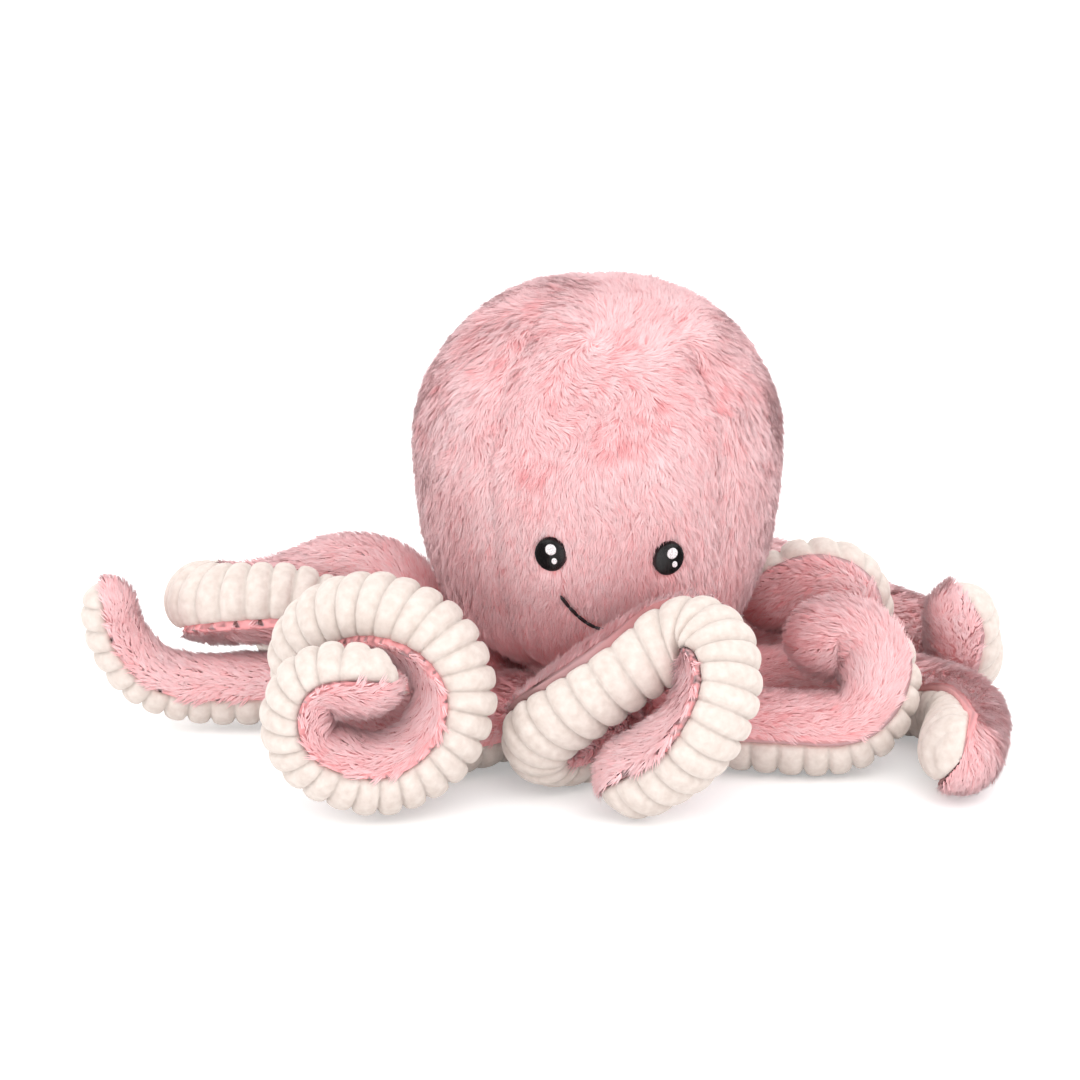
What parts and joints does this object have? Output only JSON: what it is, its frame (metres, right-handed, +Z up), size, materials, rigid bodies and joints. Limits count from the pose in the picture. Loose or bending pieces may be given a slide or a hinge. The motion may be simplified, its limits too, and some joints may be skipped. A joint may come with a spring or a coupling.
{
  "type": "plush octopus",
  "caption": "Soft toy octopus: round plush head with an embroidered face, and long curled plush arms with ribbed cream undersides that lift and droop at their seams.",
  "frame": {"origin": "centre of the flat base panel, on the surface that the toy rests on", "axes": "+Z up through the head, the face looks along -Y, +X along the long side of the toy, to the viewer's right"},
  "size_m": [0.4273, 0.2956, 0.215],
  "materials": {
    "plush_pink": "long-pile plush",
    "minky_cream": "ribbed short-pile minky",
    "fibre_fill": "loose polyester fibre",
    "pellet_fill": "pellets in a cloth pouch",
    "thread_black": "satin stitch",
    "thread_white": "satin stitch"
  },
  "bodies": {
    "body": {"head_face_panel": "plush_pink", "head_right_panel": "plush_pink", "head_back_right_panel": "plush_pink", "head_back_left_panel": "plush_pink", "head_left_panel": "plush_pink", "head_filling": "fibre_fill", "pellet_pouch": "pellet_fill", "base_panel": "minky_cream", "eye_left": "thread_black", "eye_right": "thread_black", "eye_left_glint": "thread_white", "eye_right_glint": "thread_white", "mouth": "thread_black"},
    "arm_front": {"arm_front_cover": "plush_pink", "arm_front_underside": "minky_cream", "arm_front_filling": "fibre_fill"},
    "arm_front_left": {"arm_front_left_cover": "plush_pink", "arm_front_left_underside": "minky_cream", "arm_front_left_filling": "fibre_fill"},
    "arm_left": {"arm_left_cover": "plush_pink", "arm_left_underside": "minky_cream", "arm_left_filling": "fibre_fill"},
    "arm_back_left": {"arm_back_left_cover": "plush_pink", "arm_back_left_underside": "minky_cream", "arm_back_left_filling": "fibre_fill"},
    "arm_back": {"arm_back_cover": "plush_pink", "arm_back_underside": "minky_cream", "arm_back_filling": "fibre_fill"},
    "arm_back_right": {"arm_back_right_cover": "plush_pink", "arm_back_right_underside": "minky_cream", "arm_back_right_filling": "fibre_fill"},
    "arm_right": {"arm_right_cover": "plush_pink", "arm_right_underside": "minky_cream", "arm_right_filling": "fibre_fill"},
    "arm_front_right": {"arm_front_right_cover": "plush_pink", "arm_front_right_underside": "minky_cream", "arm_front_right_filling": "fibre_fill"}
  },
  "joints": [
    {"name": "arm_front_lift", "type": "hinge", "parent": "body", "child": "arm_front", "pos_m": [0, -0.05331, 0.0227], "axis": [-1, 0, 0], "range_deg": [-25, 8]},
    {"name": "arm_front_left_lift", "type": "hinge", "parent": "body", "child": "arm_front_left", "pos_m": [-0.03769, -0.03769, 0.0227], "axis": [-0.7071, 0.7071, 0], "range_deg": [-25, 16]},
    {"name": "arm_left_lift", "type": "hinge", "parent": "body", "child": "arm_left", "pos_m": [-0.05331, 0, 0.0227], "axis": [0, 1, 0], "range_deg": [-25, 12]},
    {"name": "arm_back_left_lift", "type": "hinge", "parent": "body", "child": "arm_back_left", "pos_m": [-0.03769, 0.03769, 0.0227], "axis": [0.7071, 0.7071, 0], "range_deg": [-25, 18]},
    {"name": "arm_back_lift", "type": "hinge", "parent": "body", "child": "arm_back", "pos_m": [0, 0.05331, 0.0227], "axis": [1, 0, 0], "range_deg": [-25, 8]},
    {"name": "arm_back_right_lift", "type": "hinge", "parent": "body", "child": "arm_back_right", "pos_m": [0.03769, 0.03769, 0.0227], "axis": [0.7071, -0.7071, 0], "range_deg": [-25, 8]},
    {"name": "arm_right_lift", "type": "hinge", "parent": "body", "child": "arm_right", "pos_m": [0.05331, 0, 0.0227], "axis": [0, -1, 0], "range_deg": [-25, 6]},
    {"name": "arm_front_right_lift", "type": "hinge", "parent": "body", "child": "arm_front_right", "pos_m": [0.03769, -0.03769, 0.0227], "axis": [-0.7071, -0.7071, 0], "range_deg": [-10, 16]}
  ]
}
